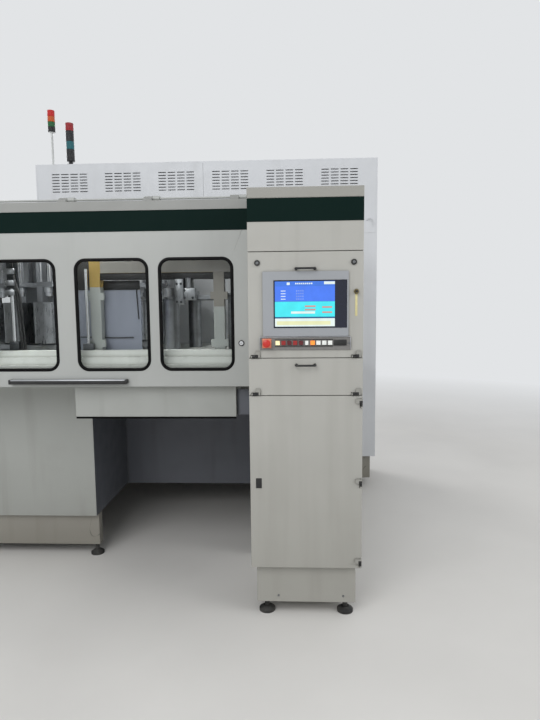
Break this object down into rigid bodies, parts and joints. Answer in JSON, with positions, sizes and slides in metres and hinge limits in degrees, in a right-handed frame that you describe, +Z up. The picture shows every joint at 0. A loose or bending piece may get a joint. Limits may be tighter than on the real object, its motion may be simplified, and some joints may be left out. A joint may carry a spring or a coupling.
{
  "type": "blow moulding machine",
  "caption": "Rotary stretch blow moulding machine: windowed chamber with a lift-up flap, control cabinet in front, louvred oven casing behind, blow wheel and star wheels inside.",
  "frame": {"origin": "middle of the footprint, on the floor", "axes": "+Z up, -Y towards the viewer at the control cabinet, +X to the viewer's right"},
  "size_m": [3.193, 2.89, 3.556],
  "materials": {
    "panel_grey": "satin fine-textured paint",
    "door_grey": "satin fine-textured paint",
    "casing_white": "satin paint",
    "dark_green": "satin paint",
    "base_grey": "satin paint",
    "plinth_grey": "satin paint",
    "cream": "gloss paint",
    "frame_grey": "satin paint",
    "lilac_grey": "satin paint",
    "steel": "ground",
    "dark_steel": "oiled",
    "bright_rod": "polished",
    "aluminium": "machined",
    "anodised": "satin anodised",
    "black_rubber": "matt",
    "black_plastic": "satin",
    "window_glass": "clear",
    "screen": "lit screen behind glass",
    "surround_grey": "satin",
    "strip_grey": "satin",
    "feet_black": "black",
    "tower": "lamp modules in several colours",
    "signal_red": "moulded",
    "key_cream": "moulded",
    "key_red": "moulded",
    "key_maroon": "moulded",
    "key_orange": "moulded",
    "key_white": "moulded",
    "brass": "polished"
  },
  "bodies": {
    "root": {"base_frame": "plinth_grey", "base_panels": "base_grey", "levelling_feet": "feet_black", "bed_plate": "cream", "enclosure_frame": "frame_grey", "enclosure_walls": "panel_grey", "side_rubbers": "black_rubber", "side_panes": "window_glass", "flap_hinge_rail": "steel", "reject_hood": "base_grey", "rear_casing": "casing_white", "signal_towers": "tower", "cabinet_shell": "door_grey", "cabinet_band": "dark_green", "cabinet_hinges": "black_plastic", "wheel_pedestal": "dark_steel", "inner_columns": "cream", "partition_panel": "lilac_grey", "outlet_rail": "steel"},
    "flap": {"flap_panel": "panel_grey", "flap_band": "dark_green", "window_rubbers": "black_rubber", "window_panes": "window_glass", "flap_grip": "anodised"},
    "flap_lock": {"flap_lock": "steel"},
    "screen_door": {"screen_door": "door_grey", "screen_surround": "surround_grey", "screen_glass": "screen", "key_strip": "strip_grey", "screen_door_handle": "black_plastic"},
    "screen_lock_left": {"screen_lock_left": "black_plastic"},
    "screen_lock_right": {"screen_lock_right": "black_plastic"},
    "key_switch": {"key_switch": "brass"},
    "stop_button": {"stop_button": "signal_red"},
    "keyboard_flap": {"keyboard_flap": "door_grey", "keyboard": "strip_grey", "keyboard_flap_handle": "black_plastic"},
    "lower_door": {"lower_door": "door_grey"},
    "lower_door_latch": {"lower_door_latch": "black_plastic"},
    "wheel": {"blow_wheel": "steel", "station_frames": "frame_grey", "tie_ring": "frame_grey", "stretch_units": "anodised", "mould_blocks": "aluminium"},
    "mould_half_left": {"mould_half_left": "aluminium"},
    "mould_half_right": {"mould_half_right": "aluminium"},
    "stretch_rod": {"stretch_rod": "bright_rod"},
    "infeed_star": {"infeed_star": "steel"},
    "outfeed_star": {"outfeed_star": "steel"},
    "drive_pinion": {"drive_pinion": "dark_steel"},
    "key_1": {"key_1": "key_cream"},
    "key_2": {"key_2": "key_red"},
    "key_3": {"key_3": "key_maroon"},
    "key_4": {"key_4": "key_red"},
    "key_5": {"key_5": "key_maroon"},
    "key_6": {"key_6": "key_white"},
    "key_7": {"key_7": "key_orange"},
    "key_8": {"key_8": "key_white"},
    "key_9": {"key_9": "key_white"},
    "key_10": {"key_10": "key_white"}
  },
  "joints": [
    {"name": "flap_turn", "type": "hinge", "parent": "root", "child": "flap", "pos_m": [-0.503, -1.045, 2.346], "axis": [-1, 0, 0], "range_deg": [0, 80]},
    {"name": "flap_lock_turn", "type": "hinge", "parent": "flap", "child": "flap_lock", "pos_m": [0.5305, -1.079, 1.506], "axis": [0, 1, 0], "range_deg": [0, 90]},
    {"name": "screen_door_turn", "type": "hinge", "parent": "root", "child": "screen_door", "pos_m": [0.8985, -1.399, 1.4545], "axis": [1, 0, 0], "range_deg": [0, 90]},
    {"name": "screen_lock_left_turn", "type": "hinge", "parent": "screen_door", "child": "screen_lock_left", "pos_m": [0.6485, -1.395, 1.943], "axis": [0, -1, 0], "range_deg": [0, 90]},
    {"name": "screen_lock_right_turn", "type": "hinge", "parent": "screen_door", "child": "screen_lock_right", "pos_m": [1.1485, -1.395, 1.943], "axis": [0, 1, 0], "range_deg": [0, 90]},
    {"name": "key_switch_turn", "type": "hinge", "parent": "screen_door", "child": "key_switch", "pos_m": [1.1615, -1.395, 1.792], "axis": [0, 1, 0], "range_deg": [0, 90]},
    {"name": "stop_button_slide", "type": "slide", "parent": "screen_door", "child": "stop_button", "axis": [0, 1, 0], "range_m": [0, 0.005]},
    {"name": "key_1_slide", "type": "slide", "parent": "screen_door", "child": "key_1", "axis": [0, 1, 0], "range_m": [0, 0.003], "stiffness_N_per_m": 300},
    {"name": "key_2_slide", "type": "slide", "parent": "screen_door", "child": "key_2", "axis": [0, 1, 0], "range_m": [0, 0.003], "stiffness_N_per_m": 300},
    {"name": "key_3_slide", "type": "slide", "parent": "screen_door", "child": "key_3", "axis": [0, 1, 0], "range_m": [0, 0.003], "stiffness_N_per_m": 300},
    {"name": "key_4_slide", "type": "slide", "parent": "screen_door", "child": "key_4", "axis": [0, 1, 0], "range_m": [0, 0.003], "stiffness_N_per_m": 300},
    {"name": "key_5_slide", "type": "slide", "parent": "screen_door", "child": "key_5", "axis": [0, 1, 0], "range_m": [0, 0.003], "stiffness_N_per_m": 300},
    {"name": "key_6_slide", "type": "slide", "parent": "screen_door", "child": "key_6", "axis": [0, 1, 0], "range_m": [0, 0.003], "stiffness_N_per_m": 300},
    {"name": "key_7_slide", "type": "slide", "parent": "screen_door", "child": "key_7", "axis": [0, 1, 0], "range_m": [0, 0.003], "stiffness_N_per_m": 300},
    {"name": "key_8_slide", "type": "slide", "parent": "screen_door", "child": "key_8", "axis": [0, 1, 0], "range_m": [0, 0.003], "stiffness_N_per_m": 300},
    {"name": "key_9_slide", "type": "slide", "parent": "screen_door", "child": "key_9", "axis": [0, 1, 0], "range_m": [0, 0.003], "stiffness_N_per_m": 300},
    {"name": "key_10_slide", "type": "slide", "parent": "screen_door", "child": "key_10", "axis": [0, 1, 0], "range_m": [0, 0.003], "stiffness_N_per_m": 300},
    {"name": "keyboard_flap_turn", "type": "hinge", "parent": "root", "child": "keyboard_flap", "pos_m": [0.8985, -1.399, 1.2545], "axis": [1, 0, 0], "range_deg": [0, 90]},
    {"name": "lower_door_turn", "type": "hinge", "parent": "root", "child": "lower_door", "pos_m": [1.1925, -1.399, 0.77], "axis": [0, 0, 1], "range_deg": [0, 110]},
    {"name": "lower_door_latch_turn", "type": "hinge", "parent": "lower_door", "child": "lower_door_latch", "pos_m": [0.6445, -1.391, 0.79], "axis": [-1, 0, 0], "range_deg": [0, 40]},
    {"name": "wheel_turn", "type": "hinge", "parent": "root", "child": "wheel", "pos_m": [-0.7815, -0.085, 1.44], "axis": [0, 0, 1], "continuous": true},
    {"name": "mould_half_left_turn", "type": "hinge", "parent": "wheel", "child": "mould_half_left", "pos_m": [-0.7815, -0.6155, 1.625], "axis": [0, 0, 1], "range_deg": [0, 12]},
    {"name": "mould_half_right_turn", "type": "hinge", "parent": "wheel", "child": "mould_half_right", "pos_m": [-0.7815, -0.6155, 1.625], "axis": [0, 0, 1], "range_deg": [-12, 0]},
    {"name": "stretch_rod_slide", "type": "slide", "parent": "wheel", "child": "stretch_rod", "axis": [0, 0, -1], "range_m": [0, 0.19]},
    {"name": "infeed_star_turn", "type": "hinge", "parent": "root", "child": "infeed_star", "pos_m": [-0.00208, 0.365, 1.5], "axis": [0, 0, 1], "continuous": true},
    {"name": "outfeed_star_turn", "type": "hinge", "parent": "root", "child": "outfeed_star", "pos_m": [-0.00208, -0.535, 1.5], "axis": [0, 0, 1], "continuous": true},
    {"name": "drive_pinion_turn", "type": "hinge", "parent": "root", "child": "drive_pinion", "pos_m": [-1.1175, -0.66697, 1.42], "axis": [0, 0, 1], "continuous": true}
  ],
  "couplings": [
    {"joint": "mould_half_right_turn", "follows": "mould_half_left_turn", "ratio": -1},
    {"joint": "infeed_star_turn", "follows": "wheel_turn", "ratio": -2},
    {"joint": "outfeed_star_turn", "follows": "wheel_turn", "ratio": -2},
    {"joint": "drive_pinion_turn", "follows": "wheel_turn", "ratio": -5}
  ]
}
